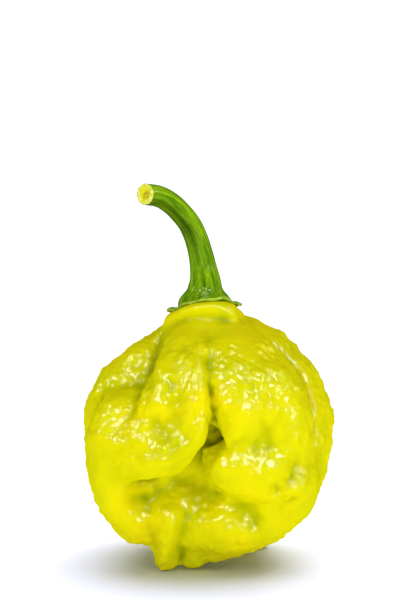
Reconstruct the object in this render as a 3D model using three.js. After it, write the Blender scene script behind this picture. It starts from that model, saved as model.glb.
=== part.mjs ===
// A ripe yellow hot chilli pepper, standing on its tail and two rear lobes.
// It has three grown pieces: the folded, warty pod, the thin calyx draped over its neck,
// and the ribbed stem, which flares into a ring where it meets the calyx.
// Millimetres, +Z up, the viewer in front on -Y.

import * as THREE from "three";

// Driving dimensions
const FIT_GAP = 0.3; // clearance between pieces that touch
const MESH_STEP = 1.27; // spacing of the pod's surface net
const WART_PITCH = 2.6;
const WART_HEIGHT = 0.32;
const WART_TOP = 38; // the neck above this height is smooth
const RESTING_DEPTH = 0.32; // what hangs this close to the ground is flattened on it
const DRAPE_GAP = 0.42; // from the pod's smooth skin to the calyx, a little over the fit gap
const CALYX_THICKNESS = 0.65;
const CALYX_RIM = 0.45; // thickness at the rim
const CALYX_SPOKES = 60;
const STEM_SIDES = 30;
const STEM_RINGS_PER_SPAN = 3;
const STEM_RIBS = 5;
const GROOVE_DEPTH = 0.12; // of the stem's radius, between two ribs

// Rim of the calyx from above, [x, y, lift off the skin], anticlockwise, its teeth lifted the most
const calyxRim = [
  [-6.3, -0.2, 0.3], [-5.1, -2.4, 0], [-3.6, -4.2, 0], [-0.4, -5.6, 0.1], [2.6, -5, 0],
  [4.3, -3.3, 0.15], [5.7, -1, 0.3], [5, 1.4, 0], [4.3, 3.6, 0.1], [1.4, 5.3, 0.3],
  [-1.6, 4.7, 0], [-4.4, 4, 0.3], [-5.1, 1.8, 0],
];

// Middle line of the stem, [x, y, z, radius], from its swollen foot to the cut
const stemLine = [
  [-0.3, 0, 42.4, 3.1], [-0.3, 0, 42.9, 3.72], [-0.3, 0, 43.5, 3.55], [-0.3, 0, 44.2, 2.8],
  [-0.3, 0, 45.5, 2.42], [-0.6, 0, 47.7, 2.1], [-1.1, -0.5, 50.2, 1.92], [-1.8, -1, 52.6, 1.86],
  [-2.8, -1.6, 54.8, 1.78], [-4.3, -2.4, 56.8, 1.75], [-5.8, -3.3, 58.3, 1.76],
  [-7.5, -4.4, 59.4, 1.72], [-9.7, -5.8, 59.9, 1.7],
];

// Folds of flesh, in the order that they are joined. Each is a chain of balls [x, y, z, radius]
// with tapered round bars between them, and softness is how gently it runs into those before it.
const folds = [
  {
    name: "core",
    softness: 1,
    chain: [[0, 1.5, 34, 5], [0, 2.5, 26.5, 11.4], [0.5, 3.8, 18, 12], [0, 2, 11, 8.6]],
  },
  {
    name: "back left lobe",
    softness: 2,
    chain: [
      [-3, 4, 35.6, 4.2], [-8, 9, 29, 5.8], [-8, 12.6, 22.6, 6], [-9.4, 11, 14.6, 6.2],
      [-6.2, 10.4, 7.4, 4.8], [-4.6, 9.8, 2.75, 3],
    ],
  },
  {
    name: "back middle lobe",
    softness: 2,
    chain: [
      [-0.5, 5.5, 35.4, 4.2], [1, 11.6, 30.4, 5.2], [3, 14.4, 23, 5.8], [1.8, 14, 15.6, 5],
      [0.4, 9.8, 9, 5.6],
    ],
  },
  {
    name: "back right lobe",
    softness: 2,
    chain: [
      [4, 4, 35.4, 4.2], [9.2, 8.8, 30.4, 5.4], [11.6, 9.2, 22, 6.2], [9.4, 10.4, 15, 5.6],
      [9, 8.4, 8, 4.8], [7.8, 8, 2.95, 3.2],
    ],
  },
  {
    name: "left back lobe",
    softness: 2,
    chain: [
      [-5, -0.6, 34.6, 3], [-9.4, -0.8, 31.3, 4.6], [-13, -0.8, 27.8, 4.9], [-14.8, 0, 24, 4.9],
      [-14.6, 2, 18, 5], [-11.2, 3, 11.4, 5],
    ],
  },
  {
    name: "right back lobe",
    softness: 2,
    chain: [
      [6.8, 1.6, 35.5, 3.8], [8.9, 1.8, 33.2, 4.8], [12.7, 2, 27.8, 5.7], [14.7, 1.4, 23, 5.6],
      [14.6, 1, 19, 5.6], [12.8, 0.4, 12.9, 5.6], [9.8, 0.4, 9, 5.4],
    ],
  },
  {
    name: "pit floor",
    softness: 3,
    chain: [
      [-10.6, -3.6, 14, 4.6], [-6.6, -4.4, 12.6, 4.4], [-2, -5, 14.4, 4.6], [2.6, -7, 13, 4.8],
    ],
  },
  {
    name: "front belly",
    softness: 3,
    chain: [[-0.3, -8, 7.4, 4.2], [4, -8.8, 7.8, 4.9], [8.9, -8, 9.9, 5.3], [12.2, -5.6, 12, 5.2]],
  },
  {
    name: "lower tongue",
    softness: 3,
    chain: [
      [2.3, -13, 18.5, 3.3], [5.3, -12.8, 17.9, 4.4], [8.6, -11.8, 17.1, 4.6],
      [12, -9.6, 15.4, 4.5],
    ],
  },
  {
    name: "front right lobe, outer side",
    softness: 2.6,
    chain: [
      [4, -3.6, 36, 3.6], [6.9, -7.8, 33.4, 4.6], [9.4, -9.6, 30, 5], [11.3, -10, 25.9, 5],
      [12.1, -9.7, 21.4, 4.8], [11.8, -8.8, 16.4, 4.6],
    ],
  },
  {
    name: "front right lobe, inner side",
    softness: 3,
    chain: [[1.6, -4, 37, 3.4], [3.2, -8.6, 34.6, 4.1], [4.4, -12, 31, 4.4], [4.8, -13.4, 27, 4.4]],
  },
  {
    name: "left roll",
    softness: 1.4,
    chain: [
      [-13.2, -7.8, 24.8, 4.2], [-14.8, -8.2, 20.9, 4.3], [-15.1, -8.4, 15.9, 3.8],
      [-13.4, -7.8, 11.2, 3.8], [-11.2, -7, 8.2, 3.7], [-8.8, -6, 7.4, 3.4],
    ],
  },
  {
    name: "tongue",
    softness: 1.2,
    chain: [
      [-1.2, -4, 37.2, 3.2], [-3, -7.6, 34.8, 3.9], [-4, -10.6, 31.2, 4.5],
      [-5.5, -11.8, 27, 4.9], [-6.7, -11.8, 23.5, 4.8], [-9.7, -10.6, 21.7, 4.4],
    ],
  },
  {
    name: "tongue's thick edge",
    softness: 2,
    chain: [
      [-2, -9.8, 35, 2.5], [-2, -12.8, 32.6, 2.8], [-1.8, -14.7, 29.1, 3],
      [-2, -15.2, 25.7, 3.1], [-2.6, -15.2, 23.2, 3.1], [-3.6, -15, 21.6, 3.1],
      [-5.2, -14.6, 20.2, 3.1], [-7.6, -13.8, 19.3, 3.1], [-10.8, -12.2, 18.8, 3.2],
      [-13.6, -10.4, 19, 3.3],
    ],
  },
  {
    name: "web between the left lobes",
    softness: 2,
    chain: [[-7.6, -3.4, 31, 3.4], [-8.6, -4.4, 26.5, 4.8], [-9.4, -4.8, 22, 4.8]],
  },
  {
    name: "tail",
    softness: 2,
    chain: [
      [-5.7, -8.6, 13.3, 2.4], [-6, -9.2, 9.9, 2.8], [-6, -8.8, 6, 2.6], [-6.4, -7.6, 1.2, 1.75],
    ],
  },
  {
    name: "tail's twin",
    softness: 0.6,
    chain: [
      [4, -7.6, 5.9, 3.6], [1.2, -7, 4.6, 3.2], [-1.2, -6.8, 4.4, 2.7], [-2.1, -6.8, 1.2, 1.65],
    ],
  },
  {
    name: "neck",
    softness: 3,
    chain: [[-0.3, 0.4, 34.2, 5.2], [-0.3, 0.2, 36.4, 4.2]],
  },
  {
    name: "left side of the neck",
    softness: 1.2,
    chain: [[-5, -1.6, 38.4, 2], [-5.2, -1, 36.8, 2.3]],
  },
  {
    name: "forehead under the collar",
    softness: 2,
    chain: [[-2.8, -4.4, 37.6, 2.5], [0.3, -5.2, 38, 2.6], [3.2, -4.4, 37.4, 2.5]],
  },
  {
    name: "collar",
    softness: 1,
    chain: [
      [-5.5, -0.4, 38.9, 1.4], [-4, -3.8, 40.4, 1.4], [-1.7, -5.6, 41.4, 1.3],
      [1, -5.7, 41.5, 1.3], [3.5, -4.2, 40.8, 1.5], [4.6, -0.6, 39.7, 1.6], [3.4, 3, 39.2, 1.7],
      [-0.6, 4.4, 39, 1.7], [-4.2, 3, 38.8, 1.6], [-5.5, -0.4, 38.9, 1.4],
    ],
  },
];

// Hollows pressed into the flesh, written as the folds are
const hollows = [
  {
    name: "deep crease beside the tongue",
    softness: 1.6,
    chain: [
      [0.4, -12.6, 35.6, 0.6], [0.7, -15, 32.4, 1], [1, -16.4, 29, 1.2], [1.2, -16.6, 26.8, 1.4],
      [1.5, -15, 24.4, 1.6], [1, -14.6, 22, 1.8], [-0.4, -15, 20, 2], [-2.2, -13.6, 18, 1.8],
    ],
  },
  {
    name: "pit under the tongue",
    softness: 2,
    chain: [[-9.4, -12.2, 13.2, 2.5], [-6, -12.4, 14, 2.6], [-2.4, -12.6, 15.6, 2.2]],
  },
  {
    name: "groove under the collar",
    softness: 1.2,
    chain: [
      [-6.6, -3.4, 38, 0.4], [-4.6, -6, 39.6, 0.5], [-2.7, -7.4, 40.5, 0.5], [0, -7.9, 40.8, 0.5],
      [2.9, -6.9, 39.9, 0.5], [5.2, -4.6, 39, 0.4],
    ],
  },
  {
    name: "dimple low on the right",
    softness: 1.5,
    chain: [[12.6, -13.4, 13.2, 0.8], [13.4, -13.2, 12.8, 0.6]],
  },
];

function barsOf(chain) {
  return chain.slice(1).map((end, i) => {
    const start = chain[i];
    const run = end.map((value, axis) => value - start[axis]);
    return { start, run, length2: run[0] ** 2 + run[1] ** 2 + run[2] ** 2 };
  });
}

function withBars({ softness, chain }) {
  return { softness, bars: barsOf(chain) };
}

const foldBars = folds.map(withBars);
const hollowBars = hollows.map(withBars);

function barDistance({ start, run, length2 }, x, y, z) {
  const dx = x - start[0];
  const dy = y - start[1];
  const dz = z - start[2];
  const t = Math.min(1, Math.max(0, (dx * run[0] + dy * run[1] + dz * run[2]) / length2));
  return Math.hypot(dx - t * run[0], dy - t * run[1], dz - t * run[2]) - start[3] - t * run[3];
}

function chainDistance(bars, x, y, z) {
  let nearest = Infinity;
  for (const bar of bars) nearest = Math.min(nearest, barDistance(bar, x, y, z));
  return nearest;
}

// The smaller of two distances, rounded where they are within softness of each other
function softMin(a, b, softness) {
  const close = Math.max(0, 1 - Math.abs(a - b) / softness);
  return Math.min(a, b) - (softness * close * close) / 4;
}

// Warts: one soft dome in each cell of a jittered grid
function cellRandom(i, j, k, salt) {
  const s = Math.sin(i * 127.1 + j * 311.7 + k * 74.7 + salt * 53.3) * 43758.5453;
  return s - Math.floor(s);
}

function wartRelief(x, y, z) {
  const [i, j, k] = [x, y, z].map((v) => Math.floor(v / WART_PITCH));
  let highest = 0;
  for (let a = i - 1; a <= i + 1; a++)
    for (let b = j - 1; b <= j + 1; b++)
      for (let c = k - 1; c <= k + 1; c++) {
        const dx = x / WART_PITCH - a - cellRandom(a, b, c, 1);
        const dy = y / WART_PITCH - b - cellRandom(a, b, c, 2);
        const dz = z / WART_PITCH - c - cellRandom(a, b, c, 3);
        const dome = Math.max(0, 1 - (dx * dx + dy * dy + dz * dz) / 0.6);
        highest = Math.max(highest, dome * dome);
      }
  return highest * WART_HEIGHT;
}

// The pod's skin lies where this is zero, and it is negative inside
function podDistance(x, y, z) {
  let d = Infinity;
  for (const { bars, softness } of foldBars) d = softMin(d, chainDistance(bars, x, y, z), softness);
  for (const { bars, softness } of hollowBars) d = -softMin(-d, chainDistance(bars, x, y, z), softness);
  const warty = Math.min(1, Math.max(0, (WART_TOP - z) / 2));
  return Math.max(d - warty * wartRelief(x, y, z), -z);
}

// Makes solid what lies outside the skin but can't be reached from the grid's first corner
function fillSealedGaps(values, count) {
  const strides = [1, count[0], count[0] * count[1]];
  const open = new Uint8Array(values.length);
  const reached = [0];
  open[0] = 1;
  while (reached.length) {
    const here = reached.pop();
    for (const [axis, stride] of strides.entries()) {
      const place = Math.floor(here / stride) % count[axis];
      for (const way of [-1, 1]) {
        const next = here + way * stride;
        if (place + way < 0 || place + way >= count[axis] || open[next] || values[next] < 0) continue;
        open[next] = 1;
        reached.push(next);
      }
    }
  }
  values.forEach((value, n) => {
    if (value >= 0 && !open[n]) values[n] = -FIT_GAP;
  });
}

// Corners of a grid cell, each pair that lies across one of its faces with the pair between them,
// and the ends of its long diagonals
const corners = [0, 1].flatMap((c) => [0, 1].flatMap((b) => [0, 1].map((a) => [a, b, c])));
const faceDiagonals = [];
for (const [one, other, third] of [[1, 2, 4], [2, 4, 1], [4, 1, 2]])
  for (const base of [0, third]) {
    faceDiagonals.push([base, base + one + other, base + one, base + other]);
    faceDiagonals.push([base + one, base + other, base, base + one + other]);
  }
const longDiagonals = [[0, 7], [1, 6], [2, 5], [3, 4]];

// Fills each grid point where the skin would touch itself only along an edge or at a corner
function closePinches(values, count) {
  const strides = [1, count[0], count[0] * count[1]];
  const offsets = corners.map(([a, b, c]) => a * strides[0] + b * strides[1] + c * strides[2]);
  let filled = true;
  while (filled) {
    filled = false;
    for (let first = 0; first + offsets[7] < values.length; first++) {
      const solid = offsets.map((offset) => values[first + offset] < 0);
      const amount = solid.filter(Boolean).length;
      const pinch = faceDiagonals.find(([a, b, c, d]) => solid[a] && solid[b] && !solid[c] && !solid[d]);
      const alone = longDiagonals.some(([a, b]) => solid[a] === solid[b] && amount === (solid[a] ? 2 : 6));
      if (!pinch && !alone) continue;
      const place = pinch ? pinch[2] : solid.indexOf(false);
      values[first + offsets[place]] = -FIT_GAP;
      filled = true;
    }
  }
}

// Surface net: one vertex in each grid cell that the skin passes through, and a quad round each
// grid edge that it cuts
function surfaceNet(field, low, high, step) {
  const count = low.map((value, axis) => Math.ceil((high[axis] - value) / step) + 1);
  const index = (i, j, k) => i + count[0] * (j + count[1] * k);
  const values = new Float64Array(count[0] * count[1] * count[2]);
  for (let k = 0; k < count[2]; k++)
    for (let j = 0; j < count[1]; j++)
      for (let i = 0; i < count[0]; i++)
        values[index(i, j, k)] = field(low[0] + i * step, low[1] + j * step, low[2] + k * step);

  closePinches(values, count);
  fillSealedGaps(values, count);

  const edges = corners.flatMap((from, m) =>
    corners.map((to, n) => [m, n]).filter(([, n]) => {
      const apart = corners[n].map((value, axis) => value - from[axis]);
      return Math.min(...apart) === 0 && apart[0] + apart[1] + apart[2] === 1;
    }),
  );
  const points = [];
  const vertexOf = new Map();
  for (let k = 0; k < count[2] - 1; k++)
    for (let j = 0; j < count[1] - 1; j++)
      for (let i = 0; i < count[0] - 1; i++) {
        const at = corners.map(([a, b, c]) => values[index(i + a, j + b, k + c)]);
        const sum = [0, 0, 0];
        let crossings = 0;
        for (const [m, n] of edges) {
          if (at[m] < 0 === at[n] < 0) continue;
          const t = at[m] / (at[m] - at[n]);
          for (let axis = 0; axis < 3; axis++)
            sum[axis] += corners[m][axis] + t * (corners[n][axis] - corners[m][axis]);
          crossings++;
        }
        if (!crossings) continue;
        vertexOf.set(index(i, j, k), points.length);
        points.push(sum.map((value, axis) => low[axis] + ([i, j, k][axis] + value / crossings) * step));
      }

  const quads = [];
  for (let k = 1; k < count[2] - 1; k++)
    for (let j = 1; j < count[1] - 1; j++)
      for (let i = 1; i < count[0] - 1; i++)
        for (let axis = 0; axis < 3; axis++) {
          const here = values[index(i, j, k)] < 0;
          const next = [i, j, k];
          next[axis]++;
          if (here === values[index(...next)] < 0) continue;
          const [u, v] = [(axis + 1) % 3, (axis + 2) % 3];
          const ring = [[0, 0], [1, 0], [1, 1], [0, 1]].map(([a, b]) => {
            const cell = [i, j, k];
            cell[u] -= a;
            cell[v] -= b;
            return vertexOf.get(index(...cell));
          });
          quads.push(here ? ring : ring.reverse());
        }
  return { points, quads };
}

// Evens out the net and puts each vertex on the skin itself
function settleOnSkin(points, quads, field, rounds) {
  const near = points.map(() => new Set());
  for (const quad of quads)
    quad.forEach((vertex, n) => {
      near[vertex].add(quad[(n + 1) % 4]);
      near[vertex].add(quad[(n + 3) % 4]);
    });
  const probe = 0.05;
  for (let round = 0; round < rounds; round++) {
    const moved = points.map((point, vertex) => {
      const mean = [0, 0, 0];
      for (const other of near[vertex])
        for (let axis = 0; axis < 3; axis++) mean[axis] += points[other][axis] / near[vertex].size;
      return point.map((value, axis) => value + 0.5 * (mean[axis] - value));
    });
    moved.forEach((point, vertex) => {
      for (let step = 0; step < 2; step++) {
        const [x, y, z] = point;
        const d = field(x, y, z);
        const rises = [field(x + probe, y, z), field(x, y + probe, z), field(x, y, z + probe)];
        const slope = rises.map((value) => (value - d) / probe);
        const steep2 = slope[0] ** 2 + slope[1] ** 2 + slope[2] ** 2 || 1;
        for (let axis = 0; axis < 3; axis++) point[axis] -= (d * slope[axis]) / steep2;
      }
      points[vertex] = point;
    });
  }
}

function podGeometry() {
  const { points, quads } = surfaceNet(podDistance, [-24, -24, -3], [24, 25, 46], MESH_STEP);
  settleOnSkin(points, quads, podDistance, 3);
  for (const point of points) if (point[2] < RESTING_DEPTH) point[2] = 0;
  const apart = (a, b) => Math.hypot(...points[a].map((value, axis) => value - points[b][axis]));
  const triangles = quads.flatMap(([a, b, c, d]) =>
    apart(a, c) < apart(b, d) ? [a, b, c, a, c, d] : [b, c, d, b, d, a],
  );
  const geometry = new THREE.BufferGeometry();
  geometry.setAttribute("position", new THREE.Float32BufferAttribute(points.flat(), 3));
  geometry.setIndex(triangles);
  geometry.computeVertexNormals();
  return geometry;
}

// Closed skin over a row of rings of points, from the middle of the first ring to that of the last
function loft(rings) {
  const around = rings[0].length;
  const ends = [rings[0], rings.at(-1)].map((ring) =>
    ring.reduce((sum, point) => sum.addScaledVector(point, 1 / around), new THREE.Vector3()),
  );
  const points = [ends[0], ...rings.flat(), ends[1]];
  const at = (ring, n) => 1 + ring * around + (n % around);
  const triangles = [];
  for (let n = 0; n < around; n++) {
    triangles.push(0, at(0, n + 1), at(0, n));
    for (let ring = 0; ring + 1 < rings.length; ring++) {
      const [a, b, c, d] = [at(ring, n), at(ring, n + 1), at(ring + 1, n + 1), at(ring + 1, n)];
      triangles.push(a, b, c, a, c, d);
    }
    triangles.push(points.length - 1, at(rings.length - 1, n), at(rings.length - 1, n + 1));
  }
  const geometry = new THREE.BufferGeometry().setFromPoints(points);
  geometry.setIndex(triangles);
  geometry.computeVertexNormals();
  return geometry;
}

// How high the calyx's underside lies at a place, just clear of the pod's skin
function drapeHeight(x, y) {
  let z = stemLine[0][2];
  for (let step = 0; step < 60; step++) z -= 0.7 * (podDistance(x, y, z) - DRAPE_GAP);
  return z;
}

// The calyx: a thin skirt draped over the neck
function calyxGeometry() {
  const [middleX, middleY] = stemLine[0];
  const rim = new THREE.CatmullRomCurve3(calyxRim.map((point) => new THREE.Vector3(...point)), true);
  const spokes = rim.getSpacedPoints(CALYX_SPOKES).slice(0, CALYX_SPOKES);
  const ring = (reach, thickness) =>
    spokes.map((spoke) => {
      const x = middleX + reach * (spoke.x - middleX);
      const y = middleY + reach * (spoke.y - middleY);
      const lift = spoke.z * reach ** 3;
      return new THREE.Vector3(x, y, drapeHeight(x, y) + lift + thickness);
    });
  const reaches = [0.2, 0.4, 0.6, 0.76, 0.9];
  const under = reaches.map((reach) => ring(reach, 0));
  const over = reaches.map((reach) => ring(reach, CALYX_THICKNESS));
  return loft([...under, ring(1, 0), ring(1, CALYX_RIM), ...over.reverse()]);
}

// The stem: a ribbed rod that bends over, with a swollen foot and a straight cut across its tip
function stemGeometry() {
  const curve = (points) => new THREE.CatmullRomCurve3(points, false, "catmullrom");
  const line = curve(stemLine.map(([x, y, z]) => new THREE.Vector3(x, y, z)));
  const radii = curve(stemLine.map(([, , , radius]) => new THREE.Vector3(radius, 0, 0)));
  const steps = (stemLine.length - 1) * STEM_RINGS_PER_SPAN;
  const side = new THREE.Vector3(1, 0, 0);
  const rings = [];
  for (let step = 0; step <= steps; step++) {
    const along = line.getTangent(step / steps);
    side.addScaledVector(along, -side.dot(along)).normalize();
    const across = along.clone().cross(side);
    const ring = [];
    for (let n = 0; n < STEM_SIDES; n++) {
      const angle = (2 * Math.PI * n) / STEM_SIDES;
      const groove = GROOVE_DEPTH * (1 - Math.abs(Math.cos((STEM_RIBS * angle) / 2))) ** 2;
      const radius = radii.getPoint(step / steps).x * (1 - groove);
      const point = line.getPoint(step / steps).addScaledVector(side, radius * Math.cos(angle));
      ring.push(point.addScaledVector(across, radius * Math.sin(angle)));
    }
    rings.push(ring);
  }
  return loft(rings);
}

const podSkin = new THREE.MeshStandardMaterial({ color: 0xd9d606, roughness: 0.25, metalness: 0 });
const calyxGreen = new THREE.MeshStandardMaterial({ color: 0x8aae10, roughness: 0.5, metalness: 0 });
const stemGreen = new THREE.MeshStandardMaterial({ color: 0x4f8a0c, roughness: 0.4, metalness: 0 });

const pepper = new THREE.Group();

function addPiece(name, geometry, material) {
  const piece = new THREE.Mesh(geometry, material);
  piece.name = name;
  pepper.add(piece);
}

addPiece("pod", podGeometry(), podSkin);
addPiece("calyx", calyxGeometry(), calyxGreen);
addPiece("stem", stemGeometry(), stemGreen);

// The origin goes to the middle of the pepper's outline on the plane that it stands on
const outline = new THREE.Box3().setFromObject(pepper);
const middle = outline.getCenter(new THREE.Vector3());
pepper.position.set(-middle.x, -middle.y, -outline.min.z);

export default pepper;
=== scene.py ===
"""A ripe yellow hot chilli pepper, standing on its tail and two rear lobes.

Three grown pieces: the folded, warty pod, the thin calyx draped over its neck and the ribbed
stem. Metres, +Z up, the viewer in front on -Y. The lists below are in millimetres.
"""

import itertools
import math

import bpy
import numpy as np
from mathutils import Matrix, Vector
from mathutils.bvhtree import BVHTree


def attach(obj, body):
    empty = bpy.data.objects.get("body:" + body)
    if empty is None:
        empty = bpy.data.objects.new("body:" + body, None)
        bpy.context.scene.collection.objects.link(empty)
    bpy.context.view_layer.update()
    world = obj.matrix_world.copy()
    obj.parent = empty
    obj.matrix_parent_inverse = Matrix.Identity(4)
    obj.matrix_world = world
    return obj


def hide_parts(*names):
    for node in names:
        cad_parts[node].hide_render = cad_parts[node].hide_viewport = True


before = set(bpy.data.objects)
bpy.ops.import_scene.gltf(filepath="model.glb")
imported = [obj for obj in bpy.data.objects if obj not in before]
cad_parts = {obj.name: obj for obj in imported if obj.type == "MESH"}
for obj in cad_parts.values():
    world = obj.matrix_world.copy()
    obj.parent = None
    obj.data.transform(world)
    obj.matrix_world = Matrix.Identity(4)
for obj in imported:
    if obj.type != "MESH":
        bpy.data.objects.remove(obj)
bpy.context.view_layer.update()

MM = 0.001

# Where the viewer stands
VIEW_TARGET = Vector((-1.473, -0.89, 41.4)) * MM
VIEW_DISTANCE = 408 * MM
VIEW_ELEVATION = math.radians(8)
VIEW_LENS = 150
VIEW_RIGHT = Vector((1, 0, 0))
VIEW_UP = Vector((0, math.sin(VIEW_ELEVATION), math.cos(VIEW_ELEVATION)))
VIEW_BACK = Vector((0, -math.cos(VIEW_ELEVATION), math.sin(VIEW_ELEVATION)))
EYE = VIEW_TARGET + VIEW_BACK * VIEW_DISTANCE

# How bright the room is as a light, and between the softboxes in the pepper's gloss
ROOM_LIGHT = 0.44
ROOM_GLOSS = 0.03
# Light on the pepper: [name, degrees to the right, degrees up, strength, degrees across, gleam],
# where gleam is how bright it is in the pepper's gloss
SOFTBOXES = [
    ("key", -30, 34, 0.46, 17, 16),
    ("fill", 32, 32, 0.45, 17, 16),
    ("left", -76, 30, 0.05, 14, 9),
    ("right", 74, 36, 0.05, 14, 6),
    ("top", 6, 66, 0.35, 26, 4),
    ("low right", 48, 4, 0.05, 12, 12),
    ("front low", 0, -18, 0.74, 20, 0),
]
SOFTBOX_BLUR = 0.15  # how soft the edge of each is in the gloss, as a share of half its width
# Light on the floor, from behind: the same values without the gleam
BACKLIGHT = ("backlight", 158, 69, 4.1, 76)
FLOOR_SIZE = 40  # metres, so that its end is out of sight

# Pod
SKIN_STEP = 0.3 * MM
WART_PITCH = 1.2 * MM
WART_HEIGHT = 0.44 * MM
LUMP_PITCH = 2.7 * MM
LUMP_HEIGHT = 0.38 * MM
PIMPLE_PITCH = 0.85 * MM
PIMPLE_HEIGHT = 0.06 * MM
DOME_REACH2 = 0.46  # square of how far a wart reaches, in pitches
LOWEST_DOME = 0.3  # height of the lowest wart beside the highest
WART_CLUSTER = 5 * MM
FEWEST_WARTS = 0.55  # how warty the skin is between the clusters
MORE_WARTS = 0.6  # what the middle of a cluster adds
WARTLESS_HEIGHT = 39.6 * MM  # the skin has no warts from here up
WART_FADE = 3 * MM  # height over which they come in below it
FOLD_ROUNDS = (30, 330)  # smoothing of the skin that tells fine folds and broad ones
FOLD_BLUR = 8  # rounds of smoothing of the fold depth, which sets the painted shade
FOLD_DEPTHS = (0.24 * MM, 1.6 * MM)  # how deep such a fold is where its painted shade is full
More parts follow.
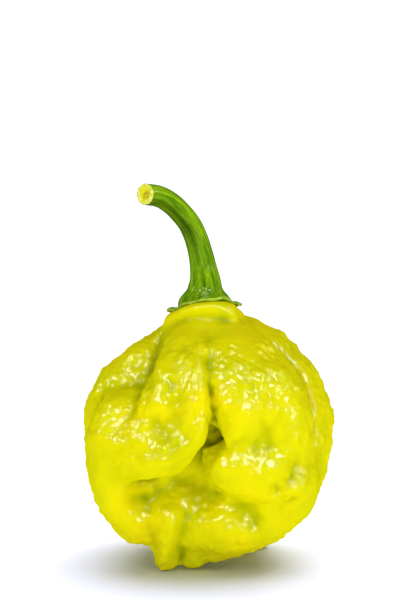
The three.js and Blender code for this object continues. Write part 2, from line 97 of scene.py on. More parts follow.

# Strokes of the modelling tool on the pod. Each runs through points [right, up] of the view's
# middle, as the viewer sees them, and pushes the skin away from the viewer by depth, which may
# change from the stroke's start to its end, or pulls it nearer where depth is negative. Where a
# stroke has a way, it pushes that way instead. A crease is sharp along its bottom, and a valley
# or a roll is round.
STROKE_STEP = 0.3
STROKES = [
    {
        "name": "height of the collar on the right", "shape": "round", "way": (0, 0, 1),
        "depth": (0.1, 0.8), "width": 2.6,
        "path": [(-2.2, -0.2), (0.4, 0.3), (2.6, 0.3), (4.5, -0.2), (5.5, -1)],
    },
    {
        "name": "roll of the collar", "shape": "round", "depth": (-0.3, -0.5), "width": 1.5,
        "path": [(-4.7, -2.2), (-2.2, -0.6), (0.4, -0.1), (2.6, -0.2), (4.5, -0.8), (5.5, -1.6)],
    },
    {
        "name": "crease below the collar", "shape": "round", "depth": (0.7, 0.1), "width": 1.6,
        "path": [(-5, -3.8), (-3.5, -2.5), (-1.6, -1.8), (1.1, -1.4), (4, -2.1), (5.9, -2.8)],
    },
    {
        "name": "slope of the front right lobe to the tongue", "shape": "round",
        "depth": (-0.7, -1), "width": 1.9,
        "path": [(2.1, -7), (2.7, -11.8), (3.2, -15), (3.7, -17.4)],
    },
    {
        "name": "crease between the tongue and the front right lobe",
        "shape": "crease", "depth": (0.5, 2), "width": 1.1,
        "path": [(1.3, -6), (1.5, -10.6), (1.8, -14.2), (2.2, -16.6)],
    },
    {
        "name": "mouth of the hole at the crease's end",
        "shape": "round", "depth": (1, 1), "width": 1.2,
        "path": [(2.2, -16.4), (2.6, -18.2), (2.5, -19.6)],
    },
    {
        "name": "floor of the hole", "shape": "round", "depth": (-1.6, -1.2), "width": 1.7,
        "path": [(2.7, -19.2), (2.8, -20), (2.4, -20.8)],
    },
    {
        "name": "flank of the front right lobe over the hole", "shape": "round",
        "way": (-1, 0, 0), "depth": (0.9, 1), "width": 2, "path": [(3.9, -18.4), (4.9, -21.2)],
    },
    {
        "name": "raised rim of the tongue", "shape": "round", "depth": (-1, -0.8), "width": 2,
        "path": [(0.1, -6.6), (0.3, -10.2), (0.8, -14.2), (1, -17.4), (0.4, -19.8), (-0.8, -21.9),
                 (-2.6, -23.8), (-5.1, -25), (-8, -25)],
    },
    {
        "name": "dish of the tongue", "shape": "round", "depth": (1, 1.5), "width": 4,
        "path": [(-3.6, -7.5), (-4, -11), (-4.2, -14.2), (-4.8, -17), (-6.6, -19)],
    },
    {
        "name": "crease between the left back lobe and the tongue",
        "shape": "crease", "depth": (1.6, 2.3), "width": 1.8,
        "path": [(-6.1, -4.3), (-7.4, -9.4), (-8, -12.6)],
    },
    {
        "name": "end of the crease between the left lobes and the tongue",
        "shape": "crease", "depth": (1.4, 0.2), "width": 2,
        "path": [(-8, -12.6), (-8.6, -14.8), (-9.8, -18.4)],
    },
    {
        "name": "sunk flank of the left back lobe", "shape": "round", "depth": (0.6, 0.9),
        "width": 3, "path": [(-8, -6.4), (-9.4, -9.4), (-10, -12)],
    },
    {
        "name": "valley between the left lobes", "shape": "crease", "depth": (1, 0.5), "width": 2.2,
        "path": [(-9.4, -12.8), (-12.2, -13.2), (-14.4, -14.6), (-16.2, -16.4)],
    },
    {
        "name": "fine wrinkle on the left", "shape": "crease", "depth": (0.35, 0.35), "width": 0.6,
        "path": [(-11.4, -21.4), (-10.7, -23.5), (-9.1, -24.8), (-7.2, -25.1)],
    },
    {
        "name": "sunk floor of the pit", "shape": "round", "depth": (0.5, 1), "width": 2.2,
        "path": [(-6.2, -28.8), (-4.4, -28.2), (-2.6, -27.2)],
    },
    {
        "name": "slope below the pit", "shape": "round", "depth": (0.8, 1.1), "width": 3.6,
        "path": [(-9.6, -31), (-6, -30.8), (-2, -30.6), (2, -31.4)],
    },
    {
        "name": "valley of the right front lobe", "shape": "round",
        "depth": (0.7, 0.9), "width": 2, "path": [(15.4, -25.8), (14.4, -27.6), (12.4, -29.4)],
    },
    {
        "name": "filled dimple between the right lobes", "shape": "round",
        "depth": (-0.5, -0.5), "width": 2, "path": [(8.4, -21.2), (9.4, -22)],
    },
    {
        "name": "filled left end of the pit", "shape": "round", "depth": (-1, -1.2),
        "width": 1.9, "path": [(-10.3, -28.8), (-8.8, -28.7)],
    },
    {
        "name": "round shoulder of the right back lobe", "shape": "round", "depth": (-0.8, -0.8),
        "width": 2.2,
        "path": [(8.2, -3.6), (12.5, -5.9), (15, -8.2), (16.8, -11.1), (17.9, -13.9), (18.5, -16.3),
                 (18.8, -21.4), (18.6, -24.8)],
    },
    {
        "name": "valley between the right lobes", "shape": "round", "depth": (0.8, 0.8),
        "width": 3,
        "path": [(8.6, -3.9), (10.7, -7.4), (12.2, -7.7), (15.3, -11), (17, -13.4), (18.1, -22.2),
                 (17.8, -24.6)],
    },
    {
        "name": "flesh under the lower tongue", "shape": "round", "depth": (-0.8, -0.8),
        "width": 2.4, "path": [(5.4, -29.6), (8.5, -30.5), (12.5, -30.2), (16.2, -28.7)],
    },
    {
        "name": "valley under the lower tongue", "shape": "round", "depth": (0.9, 0.9),
        "width": 2.6, "path": [(-3.4, -28), (-0.2, -28.6), (4, -30.2), (7.2, -32.5), (8.8, -34.7)],
    },
    {
        "name": "valley inside the right rim", "shape": "round", "depth": (0.4, 0.6),
        "width": 1.8,
        "path": [(16.6, -21), (15.6, -24.2), (15.2, -27.5), (13.6, -29.9), (12, -29.5)],
    },
    {
        "name": "ridge of the tail", "shape": "round", "depth": (-0.6, -1), "width": 1.7,
        "path": [(-5, -31), (-4.6, -35.8), (-5.4, -39), (-5.8, -40.6)],
    },
    {
        "name": "valley left of the tail", "shape": "round", "depth": (0.3, 0.7), "width": 1.7,
        "path": [(-8.4, -33), (-8, -35.6), (-7.3, -38.4)],
    },
    {
        "name": "valley between the nubs", "shape": "round", "depth": (0.6, 0.4), "width": 1.6,
        "path": [(-2.2, -33.4), (-2.7, -37), (-3.1, -40.3)],
    },
    {
        "name": "right nub of the tail", "shape": "round", "depth": (-0.3, -0.6), "width": 1.5,
        "path": [(-0.6, -37.6), (-1.2, -40.3)],
    },
    {
        "name": "swelling of the belly", "shape": "round", "depth": (-0.7, -0.7), "width": 3,
        "path": [(1.6, -33.6), (3, -36.4), (6.5, -36)],
    },
    {
        "name": "notch between the nubs of the tail", "shape": "round", "way": (0, 0, 1),
        "depth": (2, 0.5), "width": 1.4, "path": [(-3.1, -41.3), (-3.1, -40.2)],
    },
    {
        "name": "left ridge in the pit", "shape": "round", "depth": (-0.4, -0.5), "width": 1.3,
        "path": [(-9.8, -29.3), (-9, -31.7)],
    },
    {
        "name": "middle ridge in the pit", "shape": "round", "depth": (-0.4, -0.5), "width": 1.3,
        "path": [(-7.8, -29), (-8.2, -30.9)],
    },
    {
        "name": "right ridge in the pit", "shape": "round", "depth": (-0.4, -0.5), "width": 1.3,
        "path": [(-5.9, -29), (-7, -31.7)],
    },
]

# Places where the skin is smooth, [right, up, radius] in the view
SMOOTH_PATCHES = [
    (-16, -27, 4), (-15, -31, 4.5), (-12, -35, 4.5), (-9, -29, 4), (-3, -25, 3.2),
    (-7, -25.6, 3), (-3.5, -36, 3),
]
SMOOTH_SHARE = 0.9  # share of the warts that a smooth patch takes away
SMOOTH_EDGE = 1.4  # how steeply that share falls to the patch's rim

# Calyx
CALYX_SPOKES = 128
CALYX_RINGS = 12
RING_GROWTH = 1.2
CALYX_THICKNESS = 0.5 * MM
CALYX_CLEARANCE = 0.3 * MM
CALYX_RIBS = 10
CALYX_RIB_HEIGHT = 0.15 * MM
CALYX_START = 0.12  # share of the way out to the rim where the first ring lies
ABOVE_NECK = 70 * MM  # height from which rays look down for the pod's skin
# Rim from above, [x, y, lift off the skin], anticlockwise
CALYX_RIM = [
    (-7.1, -1.09, 0.9), (-6.2, -2.3, 0.4), (-5.3, -3.6, 0.3), (-3.97, -5.19, 0.5),
    (-2.3, -6.2, 0.35), (-0.77, -6.7, 0.35), (0.9, -6.7, 0.5), (2.23, -6.2, 0.55),
    (3.3, -5.4, 0.6), (4.2, -4.2, 0.55), (5, -2.9, 0.9), (5.5, -1.6, 1.3), (4.9, 0.1, 0.6),
    (4.3, 1.7, 0.1), (3.93, 2.91, 0.2), (2.5, 3.7, 0), (1.03, 4.61, 0.35), (-0.5, 4.1, 0),
    (-1.97, 3.91, 0.1), (-3.4, 3.9, 0.05), (-4.97, 3.31, 0.35), (-5.1, 2, 0),
    (-5.47, 0.91, 0), (-6.2, -0.1, 0.1),
]

# Stem: its middle line, [x, y, z], and its radius along it, [distance from the foot, radius]
STEM_SIDES = 96
STEM_STEP = 0.25 * MM
STEM_RIBS = 9
RIB_TURN = math.radians(12)
STEM_LINE = [
    (-0.67, -0.89, 41), (-0.67, -0.89, 44.2), (-0.67, -0.89, 45.5), (-0.97, -0.89, 47.7),
    (-1.47, -1.39, 50.2), (-2.17, -1.89, 52.6), (-3.17, -2.49, 54.8), (-4.67, -3.29, 56.8),
    (-6.17, -4.19, 58.3), (-7.87, -5.29, 59.4), (-10.07, -6.69, 59.9),
]
STEM_RADII = [
    (0, 4.35), (0.8, 4.35), (1.4, 4.2), (1.9, 3.9), (2.4, 3.45), (2.8, 3.08), (3.2, 2.84),
    (3.6, 2.72), (4.2, 2.6), (4.8, 2.46), (5.8, 2.28), (7.3, 2.1), (9.3, 1.97), (11.8, 1.88),
    (14.3, 1.82), (18.8, 1.77), (21.3, 1.73), (25.6, 1.7),
]
# How deep the grooves between the ribs are, as a share of the radius, along the stem
GROOVE_DEPTHS = [(0, 0), (2.6, 0), (4, 0.11), (8, 0.09), (13, 0.03), (25, 0.02)]
FULL_GROOVE = 0.16  # the share at which a groove has its full painted shade
# Where shade is painted on the stem's under side, [x before it is bent, how dark], and along the
# stem
UNDER_SIDE_SHADE = [(-1, 0), (-0.1, 0.7), (0.4, 1), (1.1, 0.8), (1.8, 0.6)]
UNDER_SHADE_HEIGHTS = [(0, 0.15), (8, 0.3), (14, 1), (25, 0.85)]
# Rings of the cut face: [width, depth, how far into the pith]
CUT_RINGS = [
    (0.12, 0.04, 0.25), (0.25, -0.02, 0.4), (0.3, 0.06, 0.55), (0.3, -0.16, 0.8),
    (0.25, -0.12, 1),
]
CUT_TURN = 0.35  # how far the cut is turned to the viewer, as a slope
CUT_REACH = 2.4 * MM  # length of stem that turns with it
CUT_TEAR = 0.28 * MM
TEAR_PITCH = 0.7 * MM

# Settings of a node that mixes colours. Its input 0 is the factor, 6 and 7 are the colours, and
# its output 2 is the mix.
BLEND = {"data_type": "RGBA", "blend_type": "MIX"}
MULTIPLY = {"data_type": "RGBA", "blend_type": "MULTIPLY"}


def linear(hex_colour):
    """Linear RGBA of an sRGB hex colour."""
    channels = [int(hex_colour[i : i + 2], 16) / 255 for i in (1, 3, 5)]
    return [c / 12.92 if c <= 0.04045 else ((c + 0.055) / 1.055) ** 2.4 for c in channels] + [1]


def add_node(tree, kind, settings=(), inputs=(), links=(), stops=()):
    """A node of that kind with its settings, its sockets' constants, its incoming links and the
    [position, sRGB hex] stops of its colour ramp, in rising order."""
    node = tree.nodes.new("ShaderNode" + kind)
    for name, value in dict(settings).items():
        setattr(node, name, value)
    for socket, value in dict(inputs).items():
        node.inputs[socket].default_value = value
    for socket, source in dict(links).items():
        tree.links.new(source, node.inputs[socket])
    for number, (position, hex_colour) in enumerate(stops):
        elements = node.color_ramp.elements
        element = elements[number] if number < len(elements) else elements.new(position)
        element.position = position
        element.color = linear(hex_colour)
    return node


def new_material(name, look):
    """A material of that name with these constants in its shader's sockets."""
    material = bpy.data.materials.new(name)
    material.use_nodes = True
    for socket, value in look.items():
        material.node_tree.nodes["Principled BSDF"].inputs[socket].default_value = value
    return material


def select_only(piece):
    """Makes the piece the active object and the only selected one."""
    bpy.ops.object.select_all(action="DESELECT")
    piece.select_set(True)
    bpy.context.view_layer.objects.active = piece


def apply_modifier(piece, kind, **settings):
    """Adds a modifier to the piece and applies it."""
    select_only(piece)
    modifier = piece.modifiers.new(kind, kind)
    for name, value in settings.items():
        setattr(modifier, name, value)
    bpy.ops.object.modifier_apply(modifier=modifier.name)


def copy_of_node(node, name):
    """A new piece with the CAD node's mesh, its loose triangles joined."""
    piece = bpy.data.objects.new(name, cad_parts[node].data.copy())
    bpy.context.scene.collection.objects.link(piece)
    select_only(piece)
    bpy.ops.object.mode_set(mode="EDIT")
    bpy.ops.mesh.select_all(action="SELECT")
    bpy.ops.mesh.remove_doubles(threshold=0.01 * MM)
    bpy.ops.mesh.tris_convert_to_quads()
    bpy.ops.object.mode_set(mode="OBJECT")
    return piece


def vertex_places(mesh):
    """The places of the mesh's vertices, one in each row."""
    places = np.empty(len(mesh.vertices) * 3)
    mesh.vertices.foreach_get("co", places)
    return places.reshape(-1, 3)


def vertex_normals(mesh):
    """The normals of the mesh's vertices, one in each row."""
    normals = np.empty(len(mesh.vertices) * 3)
    mesh.vertex_normals.foreach_get("vector", normals)
    return normals.reshape(-1, 3)


def move_vertices(mesh, places):
    """Puts the mesh's vertices at these places."""
    mesh.vertices.foreach_set("co", places.ravel())
    mesh.update()


def set_attribute(mesh, name, kind, values):
    """Gives each vertex of the mesh a value, or a vector, of that name."""
    attribute = mesh.attributes.new(name, kind, "POINT")
    attribute.data.foreach_set("vector" if kind == "FLOAT_VECTOR" else "value", values.ravel())


def surface_tree(piece):
    """Search tree of the piece's faces, for rays."""
    return BVHTree.FromObject(piece, bpy.context.evaluated_depsgraph_get())


def seen_at(tree, right, up):
    """The point of the surface that the viewer sees at [right, up] of the view's middle."""
    aim = VIEW_TARGET + VIEW_RIGHT * right * MM + VIEW_UP * up * MM
    return tree.ray_cast(EYE, (aim - EYE).normalized())[0]


def between(path, step):
    """The path's points with more between them, no further apart than step."""
    dense = [Vector(path[0])]
    for start, end in itertools.pairwise([Vector(point) for point in path]):
        parts = max(1, math.ceil((end - start).length / step))
        dense += [start.lerp(end, part / parts) for part in range(1, parts + 1)]
    return dense


def press(places, tree, stroke):
    """The places with the skin pushed in along one stroke."""
    points = between(stroke["path"], STROKE_STEP)
    nearest = np.full(len(places), np.inf)
    depth = np.zeros(len(places))
    for number, point in enumerate(points):
        hit = seen_at(tree, *point)
        if hit is None:
            continue
        apart = np.linalg.norm(places - np.array(hit), axis=1)
        closer = apart < nearest
        nearest[closer] = apart[closer]
        depth[closer] = np.interp(number / (len(points) - 1), (0, 1), stroke["depth"])
    apart = np.clip(nearest / (stroke["width"] * MM), 0, 1)
    reach = (1 - apart) ** 2 if stroke["shape"] == "crease" else (1 - apart**2) ** 2
    return places + np.outer(reach * depth * MM, stroke.get("way", -VIEW_BACK))


def domes(places, pitch, seed):
    """0 to 1: a soft dome in each cell of a jittered grid, each of its own height."""
    size = 64
    table = np.random.default_rng(seed).random((size, size, size, 4))
    scaled = places / pitch
    cell = np.floor(scaled).astype(int)
    highest = np.zeros(len(places))
    for shift in itertools.product((-1, 0, 1), repeat=3):
        corner = cell + shift
        draw = table[corner[:, 0] % size, corner[:, 1] % size, corner[:, 2] % size]
        apart = ((scaled - corner - draw[:, :3]) ** 2).sum(1)
        height = LOWEST_DOME + (1 - LOWEST_DOME) * draw[:, 3]
        dome = np.clip(1 - apart / DOME_REACH2, 0, 1) ** 2 * height
        highest = np.maximum(highest, dome)
    return highest


def wartiness(places, tree):
    """How warty the skin is at each place: nothing on the neck, little on a smooth patch."""
    amount = np.clip((WARTLESS_HEIGHT - places[:, 2]) / WART_FADE, 0, 1)
    amount *= FEWEST_WARTS + MORE_WARTS * domes(places, WART_CLUSTER, seed=9)
    for right, up, radius in SMOOTH_PATCHES:
        hit = seen_at(tree, right, up)
        if hit is not None:
            apart = np.linalg.norm(places - np.array(hit), axis=1) / (radius * MM)
            amount *= 1 - SMOOTH_SHARE * np.clip(SMOOTH_EDGE - SMOOTH_EDGE * apart, 0, 1)
    return amount


def smoothed(mesh, values, rounds):
    """The vertices' rows of values after that many rounds of moving each halfway to the mean of
    its neighbours."""
    edges = np.empty(len(mesh.edges) * 2, dtype=np.int32)
    mesh.edges.foreach_get("vertices", edges)
    start = np.concatenate([edges[0::2], edges[1::2]])
    end = np.concatenate([edges[1::2], edges[0::2]])
    neighbours = np.bincount(start, minlength=len(values))
    values = values.copy()
    for _ in range(rounds):
        for column in range(values.shape[1]):
            total = np.bincount(start, weights=values[end, column], minlength=len(values))
            values[:, column] += 0.5 * (total / neighbours - values[:, column])
    return values


def fold_depths(mesh):
    """How deep in a fold each vertex lies, 0 to 1: the smoothed skin passes that far above it."""
    places = vertex_places(mesh)
    normals = vertex_normals(mesh)
    smooth = places
    depths = np.zeros((len(places), 1))
    for rounds, full in zip(FOLD_ROUNDS, FOLD_DEPTHS):
        smooth = smoothed(mesh, smooth, rounds)
        above = ((smooth - places) * normals).sum(1, keepdims=True) / full
        depths = np.maximum(depths, np.clip(above, 0, 1))
    return smoothed(mesh, depths, FOLD_BLUR)


def pod_piece():
    """The pod: the CAD form with its creases sharpened and its fine warts raised."""
    pod = copy_of_node("pod", "pepper_pod")
    apply_modifier(pod, "SUBSURF", levels=2, render_levels=2)
    tree = surface_tree(pod)
    places = vertex_places(pod.data)
    for stroke in STROKES:
        places = press(places, tree, stroke)
    move_vertices(pod.data, places)
    apply_modifier(pod, "SMOOTH", factor=0.5, iterations=2)
    apply_modifier(pod, "REMESH", mode="VOXEL", voxel_size=SKIN_STEP)
    apply_modifier(pod, "SMOOTH", factor=0.5, iterations=6)

    places = vertex_places(pod.data)
    warty = wartiness(places, surface_tree(pod))
    relief = WART_HEIGHT * domes(places, WART_PITCH, seed=7)
    relief += PIMPLE_HEIGHT * domes(places, PIMPLE_PITCH, seed=8)
    relief += LUMP_HEIGHT * domes(places, LUMP_PITCH, seed=6)
    places += vertex_normals(pod.data) * (warty * relief)[:, None]
    places[:, 2] = np.maximum(places[:, 2], 0)
    move_vertices(pod.data, places)
    # Fold depth: it paints shade into the folds and thins the gloss there
    set_attribute(pod.data, "fold", "FLOAT", fold_depths(pod.data))
    return pod


def along_stem(table, distance):
    """The table's value at that distance from the stem's foot."""
    distances, values = zip(*table)
    return np.interp(np.asarray(distance) / MM, distances, values)


def stem_tube(length):
    """The stem as an upright tube, extruded ring by ring and closed with the rings of its cut."""
    foot_radius = float(along_stem(STEM_RADII, 0)) * MM
    bpy.ops.object.select_all(action="DESELECT")
    bpy.ops.mesh.primitive_circle_add(vertices=STEM_SIDES, radius=foot_radius, fill_type="NGON")
    stem = bpy.context.object
    stem.name = "pepper_stem"
    bpy.ops.object.mode_set(mode="EDIT")
    bpy.ops.mesh.select_all(action="SELECT")
    for ring in range(1, round(length / STEM_STEP) + 1):
        top = ring * STEM_STEP
        grow = float(along_stem(STEM_RADII, top) / along_stem(STEM_RADII, top - STEM_STEP))
        bpy.ops.mesh.extrude_region_move(TRANSFORM_OT_translate={"value": (0, 0, STEM_STEP)})
        bpy.ops.transform.resize(value=(grow, grow, 1), center_override=(0, 0, top))
    for width, depth, _ in CUT_RINGS:
        bpy.ops.mesh.inset(thickness=width * MM, depth=depth * MM)
    bpy.ops.mesh.select_all(action="SELECT")
    bpy.ops.mesh.normals_make_consistent(inside=False)
    bpy.ops.object.mode_set(mode="OBJECT")
    return stem


def rib_stem(stem, length):
    """Grooves the upright stem between its ribs and tears its cut. Each vertex learns what its
    colour needs: how far into the pith it is, how much shade is painted on it on its under side and
    in its grooves, and its place before the bend."""
    places = vertex_places(stem.data)
    on_cut = places[:, 2] > length - 0.8 * STEM_STEP
    inwards = STEM_RADII[-1][1] - np.hypot(places[:, 0], places[:, 1]) / MM
    widths, _, amounts = zip(*CUT_RINGS)
    pith = on_cut * np.interp(inwards, [0, *np.cumsum(widths)], [0, *amounts])
    angle = np.arctan2(places[:, 1], places[:, 0]) + RIB_TURN
    valley = (1 - np.abs(np.cos(STEM_RIBS * angle / 2))) ** 2
    groove = along_stem(GROOVE_DEPTHS, places[:, 2]) * valley
    # Painted shade: darker on the under side, more so up the stem, and in the grooves
    under = np.interp(places[:, 0] / MM, *zip(*UNDER_SIDE_SHADE))
    under *= along_stem(UNDER_SHADE_HEIGHTS, places[:, 2])
    shade = np.maximum(under, groove / FULL_GROOVE * (1 - pith))
    places[:, :2] *= (1 - groove * (pith == 0))[:, None]
    places[:, 2] += CUT_TEAR * (pith > 0) * (2 * domes(places, TEAR_PITCH, seed=3) - 0.5)
    move_vertices(stem.data, places)
    set_attribute(stem.data, "pith", "FLOAT", pith)
    set_attribute(stem.data, "shade", "FLOAT", shade)
    set_attribute(stem.data, "straight_place", "FLOAT_VECTOR", places)


def bend_stem(stem, length):
    """Bends the upright stem along its middle line and turns its cut to the viewer."""
    height = vertex_places(stem.data)[:, 2]
    line = bpy.data.curves.new("stem_line", "CURVE")
    line.dimensions = "3D"
    spline = line.splines.new("BEZIER")
    spline.bezier_points.add(len(STEM_LINE) - 1)
    for knot, point in zip(spline.bezier_points, STEM_LINE):
        knot.co = Vector(point) * MM
        knot.handle_left_type = knot.handle_right_type = "AUTO"
    line.resolution_u = 12
    guide = bpy.data.objects.new("stem_line", line)
    bpy.context.scene.collection.objects.link(guide)
    apply_modifier(stem, "CURVE", object=guide, deform_axis="POS_Z")
    bpy.data.objects.remove(guide)

    places = vertex_places(stem.data)
    tip = np.array(STEM_LINE[-1]) * MM
    way = tip - np.array(STEM_LINE[-2]) * MM
    way /= np.linalg.norm(way)
    turned = np.clip(1 - (length - height) / CUT_REACH, 0, 1) ** 2
    places += np.outer(CUT_TURN * turned * (places[:, 1] - tip[1]), way)
    move_vertices(stem.data, places)


def stem_piece():
    """The stem: extruded upright, ribbed, then bent."""
    length = sum(math.dist(a, b) for a, b in itertools.pairwise(STEM_LINE)) * MM
    stem = stem_tube(length)
    rib_stem(stem, length)
    bend_stem(stem, length)
    return stem


def closed_curve(knots, amount):
    """That many points, evenly spread over the knots, of the smooth closed curve through them."""
    points = [Vector(knot) for knot in knots]
    found = []
    for number in range(amount):
        span, t = divmod(number / amount * len(points), 1)
        a, b, c, d = (points[(int(span) + shift) % len(points)] for shift in (-1, 0, 1, 2))
        slope = (c - a) * t
        bend = (2 * a - 5 * b + 4 * c - d) * t**2
        twist = (3 * b - a - 3 * c + d) * t**3
        found.append(0.5 * (2 * b + slope + bend + twist))
    return found


def calyx_disc(middle):
    """A disc of rings round the middle, its vertices counted ring by ring from the inside."""
    bpy.ops.object.select_all(action="DESELECT")
    bpy.ops.mesh.primitive_circle_add(vertices=CALYX_SPOKES, radius=1 * MM, location=middle)
    calyx = bpy.context.object
    calyx.name = "pepper_calyx"
    bpy.ops.object.transform_apply(location=True, rotation=True, scale=True)
    bpy.ops.object.mode_set(mode="EDIT")
    bpy.ops.mesh.select_all(action="SELECT")
    for _ in range(CALYX_RINGS - 1):
        bpy.ops.mesh.extrude_edges_move(TRANSFORM_OT_translate={"value": (0, 0, 0)})
        bpy.ops.transform.resize(value=(RING_GROWTH, RING_GROWTH, 1), center_override=middle)
    bpy.ops.object.mode_set(mode="OBJECT")
    return calyx


def calyx_piece(pod):
    """The calyx: a disc spread out to its rim and draped over the neck, then thickened."""
    middle = Vector(STEM_LINE[0]) * MM
    calyx = calyx_disc(middle)
    tree = surface_tree(pod)
    rim = closed_curve(CALYX_RIM, CALYX_SPOKES)
    places = vertex_places(calyx.data)
    reaches = np.zeros(len(places))
    spokes = np.zeros((len(places), 3))
    for number in range(len(places)):
        ring, spoke = divmod(number, CALYX_SPOKES)
        reach = CALYX_START + (1 - CALYX_START) * ring / (CALYX_RINGS - 1)
        angle = 2 * math.pi * spoke / CALYX_SPOKES
        x = middle.x + reach * (rim[spoke].x * MM - middle.x)
        y = middle.y + reach * (rim[spoke].y * MM - middle.y)
        rib = CALYX_RIB_HEIGHT * math.cos(CALYX_RIBS * angle) * reach
        lift = rim[spoke].z * MM * reach**2
        skin = tree.ray_cast(Vector((x, y, ABOVE_NECK)), Vector((0, 0, -1)))[0]
        places[number] = (x, y, skin.z + CALYX_CLEARANCE + lift + rib)
        reaches[number] = reach
        spokes[number] = (math.cos(angle), math.sin(angle), reach)
    move_vertices(calyx.data, places)
    set_attribute(calyx.data, "reach", "FLOAT", reaches)
    set_attribute(calyx.data, "spoke", "FLOAT_VECTOR", spokes)
    apply_modifier(calyx, "SMOOTH", factor=0.5, iterations=2)
    apply_modifier(calyx, "SOLIDIFY", thickness=CALYX_THICKNESS, offset=1)
    apply_modifier(calyx, "SUBSURF", levels=1, render_levels=1)
    return calyx


def skin_material():
    """Waxy pepper skin over juicy flesh, grown. It gives strong small highlights and a soft glow,
    and shade is painted into its folds as a darker, greener yellow."""
    look = {
        "Roughness": 0.35,
        "IOR": 1.4,
        "Specular IOR Level": 0,
        "Subsurface Weight": 0.3,
        "Subsurface Radius": (1, 0.9, 0.05),
        "Subsurface Scale": 1.2 * MM,
        "Coat Roughness": 0.05,
        "Coat IOR": 1.5,
    }
    material = new_material("waxy_pepper_skin", look)
    tree = material.node_tree
    shader = tree.nodes["Principled BSDF"]
    place = add_node(tree, "TexCoord").outputs["Object"]
    fold = add_node(tree, "Attribute", {"attribute_name": "fold"}).outputs["Fac"]

    # Greener and warmer yellow change over about 7 mm
    ripeness = add_node(
        tree, "TexNoise", inputs={"Scale": 1 / (7 * MM), "Detail": 3}, links={"Vector": place}
    )
    yellow = add_node(
        tree, "ValToRGB", links={"Fac": ripeness.outputs["Fac"]},
        stops=[(0.32, "#CFCC02"), (0.5, "#DBD503"), (0.68, "#E4D703")],
    )
    # Painted shade: the deeper the fold, the darker and greener the yellow
    painted_fold_shade = add_node(
        tree, "ValToRGB", links={"Fac": fold},
        stops=[(0, "#FFFFFF"), (0.3, "#ECEFE6"), (0.65, "#CDD8B8"), (1, "#9CB880")],
    )
    colour = add_node(
        tree, "Mix", MULTIPLY, {0: 1}, {6: yellow.outputs["Color"], 7: painted_fold_shade.outputs["Color"]}
    )
    tree.links.new(colour.outputs[2], shader.inputs["Base Color"])

    # Fine unevenness, about 0.5 mm across
    grain = add_node(
        tree, "TexNoise", inputs={"Scale": 1 / (0.5 * MM), "Detail": 2, "Distortion": 0.4},
        links={"Vector": place},
    )
    bump = add_node(
        tree, "Bump", inputs={"Strength": 1, "Distance": 0.06 * MM},
        links={"Height": grain.outputs["Fac"]},
    )
    tree.links.new(bump.outputs["Normal"], shader.inputs["Normal"])
    tree.links.new(bump.outputs["Normal"], shader.inputs["Coat Normal"])

    # The wax thins out to the pod's edge and down in the folds
    facing = add_node(tree, "LayerWeight", inputs={"Blend": 0.5}).outputs["Facing"]
    wax = add_node(
        tree, "MapRange", inputs={"From Min": 0.35, "From Max": 0.8, "To Min": 1, "To Max": 0.12},
        links={"Value": facing},
    )
    open_skin = add_node(tree, "Math", {"operation": "SUBTRACT"}, {0: 1}, {1: fold})
    coat = add_node(
        tree, "Math", {"operation": "MULTIPLY"},
        links={0: wax.outputs["Result"], 1: open_skin.outputs["Value"]},
    )
    tree.links.new(coat.outputs["Value"], shader.inputs["Coat Weight"])
    return material


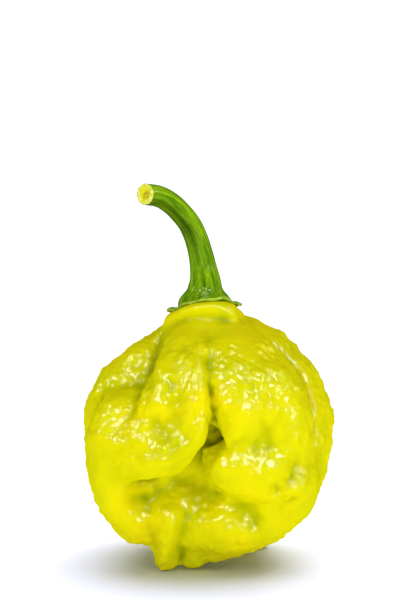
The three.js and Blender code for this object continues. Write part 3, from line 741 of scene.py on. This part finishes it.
def stalk_material():
    """Fresh green pepper stalk, fibrous under a thin wax. Streaks run along it, pale pores dot it,
    shade is painted darker on its under side and in its grooves, and where it was torn off, its
    yellow pulp and ochre pith show."""
    look = {
        "Roughness": 0.3,
        "IOR": 1.42,
        "Specular IOR Level": 0,
        "Coat Weight": 0.5,
        "Coat Roughness": 0.14,
        "Subsurface Weight": 0.15,
        "Subsurface Radius": (0.7, 1, 0.1),
        "Subsurface Scale": 0.5 * MM,
    }
    material = new_material("fresh_green_stalk", look)
    tree = material.node_tree
    shader = tree.nodes["Principled BSDF"]
    place = add_node(tree, "Attribute", {"attribute_name": "straight_place"}).outputs["Vector"]
    pith = add_node(tree, "Attribute", {"attribute_name": "pith"}).outputs["Fac"]
    shade = add_node(tree, "Attribute", {"attribute_name": "shade"}).outputs["Fac"]

    # Streaks 0.6 mm wide and ten times as long
    lengthwise = add_node(
        tree, "Mapping", inputs={"Scale": (1, 1, 0.1)}, links={"Vector": place}
    ).outputs["Vector"]
    streaks = add_node(
        tree, "TexNoise", inputs={"Scale": 1 / (0.6 * MM), "Detail": 4, "Roughness": 0.75},
        links={"Vector": lengthwise},
    )
    green = add_node(
        tree, "ValToRGB", links={"Fac": streaks.outputs["Fac"]},
        stops=[(0.36, "#487802"), (0.47, "#6E9C06"), (0.56, "#84AE08"), (0.68, "#A4C22C")],
    ).outputs["Color"]

    # Faint pale pores, 0.55 mm apart
    stretched = add_node(tree, "Mapping", inputs={"Scale": (1, 1, 0.5)}, links={"Vector": place})
    pores = add_node(
        tree, "TexVoronoi", inputs={"Scale": 1 / (0.55 * MM)},
        links={"Vector": stretched.outputs["Vector"]},
    )
    dots = add_node(
        tree, "ValToRGB", links={"Fac": pores.outputs["Distance"]},
        stops=[(0.1, "#FFFFFF"), (0.22, "#000000")],
    )
    dotted = add_node(
        tree, "Mix", BLEND, {7: linear("#A9C862")}, {0: dots.outputs["Color"], 6: green}
    )
    faint = add_node(tree, "Mix", BLEND, {0: 0.2}, {6: green, 7: dotted.outputs[2]})
    # Painted shade: darker green on the stem's under side and in its grooves
    painted_shade = add_node(
        tree, "ValToRGB", links={"Fac": shade},
        stops=[(0, "#FFFFFF"), (0.5, "#BCC2A8"), (1, "#848C68")],
    )
    skin = add_node(
        tree, "Mix", MULTIPLY, {0: 1}, {6: faint.outputs[2], 7: painted_shade.outputs["Color"]}
    )

    # The rings of the cut, pushed in and out by noise 0.8 mm across
    torn = add_node(
        tree, "TexNoise", inputs={"Scale": 1 / (0.8 * MM), "Detail": 3}, links={"Vector": place}
    )
    uneven = add_node(
        tree, "Math", {"operation": "MULTIPLY_ADD"}, {1: 1.5}, {0: torn.outputs["Fac"], 2: pith}
    )
    centred = add_node(
        tree, "Math", {"operation": "SUBTRACT"}, {1: 0.8}, {0: uneven.outputs["Value"]}
    )
    pulp = add_node(
        tree, "ValToRGB", links={"Fac": centred.outputs["Value"]},
        stops=[
            (0.2, "#DDE070"), (0.42, "#D8D81C"), (0.75, "#D4D010"), (0.92, "#C6B222"),
            (1, "#A8922C"),
        ],
    )
    on_cut = add_node(
        tree, "ValToRGB", links={"Fac": pith}, stops=[(0.08, "#000000"), (0.16, "#FFFFFF")]
    )
    colour = add_node(
        tree, "Mix", BLEND,
        links={0: on_cut.outputs["Color"], 6: skin.outputs[2], 7: pulp.outputs["Color"]},
    )
    tree.links.new(colour.outputs[2], shader.inputs["Base Color"])

    # Fibres 0.5 mm wide
    fibres = add_node(
        tree, "TexNoise", inputs={"Scale": 1 / (0.5 * MM), "Detail": 3},
        links={"Vector": lengthwise},
    )
    bump = add_node(
        tree, "Bump", inputs={"Strength": 0.8, "Distance": 0.2 * MM},
        links={"Height": fibres.outputs["Fac"]},
    )
    tree.links.new(bump.outputs["Normal"], shader.inputs["Normal"])
    return material


def calyx_material():
    """Leathery green calyx, grown. Its thin edge is paler and yellower than its ribbed top."""
    look = {
        "Roughness": 0.4,
        "IOR": 1.42,
        "Subsurface Weight": 0.15,
        "Subsurface Radius": (0.7, 1, 0.1),
        "Subsurface Scale": 0.4 * MM,
    }
    material = new_material("leathery_calyx", look)
    tree = material.node_tree
    shader = tree.nodes["Principled BSDF"]
    reach = add_node(tree, "Attribute", {"attribute_name": "reach"}).outputs["Fac"]
    spoke = add_node(tree, "Attribute", {"attribute_name": "spoke"}).outputs["Vector"]
    green = add_node(
        tree, "ValToRGB", links={"Fac": reach},
        stops=[(0.5, "#4F8A0A"), (0.8, "#72A20C"), (0.95, "#A9C828")],
    )

    # Veins run out to the rim. They are 0.7 mm wide there, a ninth of the calyx's 6.3 mm radius.
    outwards = add_node(tree, "Mapping", inputs={"Scale": (1, 1, 0.15)}, links={"Vector": spoke})
    veins = add_node(
        tree, "TexNoise", inputs={"Scale": 9, "Detail": 3},
        links={"Vector": outwards.outputs["Vector"]},
    )
    streak = add_node(
        tree, "ValToRGB", links={"Fac": veins.outputs["Fac"]},
        stops=[(0.3, "#B8B8B8"), (0.65, "#FFFFFF")],
    )
    colour = add_node(
        tree, "Mix", MULTIPLY, {0: 1}, {6: green.outputs["Color"], 7: streak.outputs["Color"]}
    )
    tree.links.new(colour.outputs[2], shader.inputs["Base Color"])
    bump = add_node(
        tree, "Bump", inputs={"Strength": 0.8, "Distance": 0.12 * MM},
        links={"Height": veins.outputs["Fac"]},
    )
    tree.links.new(bump.outputs["Normal"], shader.inputs["Normal"])
    return material


def add_softbox(name, azimuth, elevation, strength, spread, floor, lit):
    """A softbox so far off that the whole floor has the same light. Angles are in degrees, the
    azimuth from the viewer's side and to the right. It lights the floor alone or all but it. The
    floor doesn't hold back light for the pepper, and the gleam comes from the room."""
    bpy.ops.object.light_add(type="SUN")
    light = bpy.context.object
    light.name = name
    light.data.energy = strength
    light.data.angle = math.radians(spread)
    light.rotation_euler = (math.pi / 2 - math.radians(elevation), 0, math.radians(azimuth))
    light.visible_glossy = False
    receivers = bpy.data.collections.new(name + "_lights")
    receivers.objects.link(floor)
    link_state = "INCLUDE" if lit == "floor" else "EXCLUDE"
    receivers.collection_objects[0].light_linking.link_state = link_state
    light.light_linking.receiver_collection = receivers
    if lit == "pepper":
        light.light_linking.blocker_collection = receivers


def add_studio():
    """A white floor in an even white room, with softboxes in front, on both sides and above."""
    bpy.ops.mesh.primitive_plane_add(size=FLOOR_SIZE)
    floor = bpy.context.object
    floor.name = "floor"
    paper = new_material("white_paper", {"Base Color": linear("#E6E8FF"), "Roughness": 0.9})
    floor.data.materials.append(paper)
    floor.visible_glossy = False

    for name, azimuth, elevation, strength, spread, _ in SOFTBOXES:
        add_softbox(name, azimuth, elevation, strength, spread, floor, "pepper")
    add_softbox(*BACKLIGHT, floor, "floor")
    add_room()


def add_room():
    """The room round the floor: white to the eye, even as a light, and dark with bright softboxes
    in the pepper's gloss."""
    world = bpy.data.worlds.new("white_room")
    bpy.context.scene.world = world
    world.use_nodes = True
    tree = world.node_tree
    direction = add_node(tree, "TexCoord").outputs["Generated"]
    gloss = add_node(tree, "Value").outputs["Value"]
    gloss.default_value = ROOM_GLOSS
    for _, azimuth, elevation, _, spread, gleam in SOFTBOXES:
        turn, rise, half = (math.radians(angle) for angle in (azimuth, elevation, spread / 2))
        aim = (math.sin(turn) * math.cos(rise), -math.cos(turn) * math.cos(rise), math.sin(rise))
        outer = math.cos(half * (1 + SOFTBOX_BLUR))
        inner = math.cos(half * (1 - SOFTBOX_BLUR))
        facing = add_node(
            tree, "VectorMath", {"operation": "DOT_PRODUCT"}, {1: aim}, {0: direction}
        )
        box = add_node(
            tree, "MapRange", inputs={"From Min": outer, "From Max": inner, "To Max": gleam},
            links={"Value": facing.outputs["Value"]},
        )
        gloss = add_node(
            tree, "Math", {"operation": "ADD"}, links={0: box.outputs["Result"], 1: gloss}
        ).outputs["Value"]
    ray = add_node(tree, "LightPath").outputs
    unseen = add_node(
        tree, "MapRange", inputs={"To Min": ROOM_LIGHT},
        links={"Value": ray["Is Glossy Ray"], "To Max": gloss},
    )
    glow = add_node(
        tree, "MapRange", inputs={"To Max": 1},
        links={"Value": ray["Is Camera Ray"], "To Min": unseen.outputs["Result"]},
    )
    tree.nodes["Background"].inputs["Color"].default_value = (1, 1, 1, 1)
    tree.links.new(glow.outputs["Result"], tree.nodes["Background"].inputs["Strength"])


def add_camera():
    """The viewer: level with the pepper and a little above it."""
    bpy.ops.object.camera_add(location=EYE, rotation=(math.pi / 2 - VIEW_ELEVATION, 0, 0))
    camera = bpy.context.object
    camera.data.lens = VIEW_LENS
    camera.data.clip_start = 10 * MM
    bpy.context.scene.camera = camera


def declare(piece, node, material):
    """The piece is shaded smooth, wears the material and stands for the CAD node of that name."""
    select_only(piece)
    bpy.ops.object.shade_smooth()
    piece.data.materials.clear()
    piece.data.materials.append(material)
    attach(piece, "root")
    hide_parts(node)


add_camera()
add_studio()
bpy.context.scene.view_settings.view_transform = "Standard"

pod = pod_piece()
calyx = calyx_piece(pod)
stem = stem_piece()
declare(pod, "pod", skin_material())
declare(calyx, "calyx", calyx_material())
declare(stem, "stem", stalk_material())
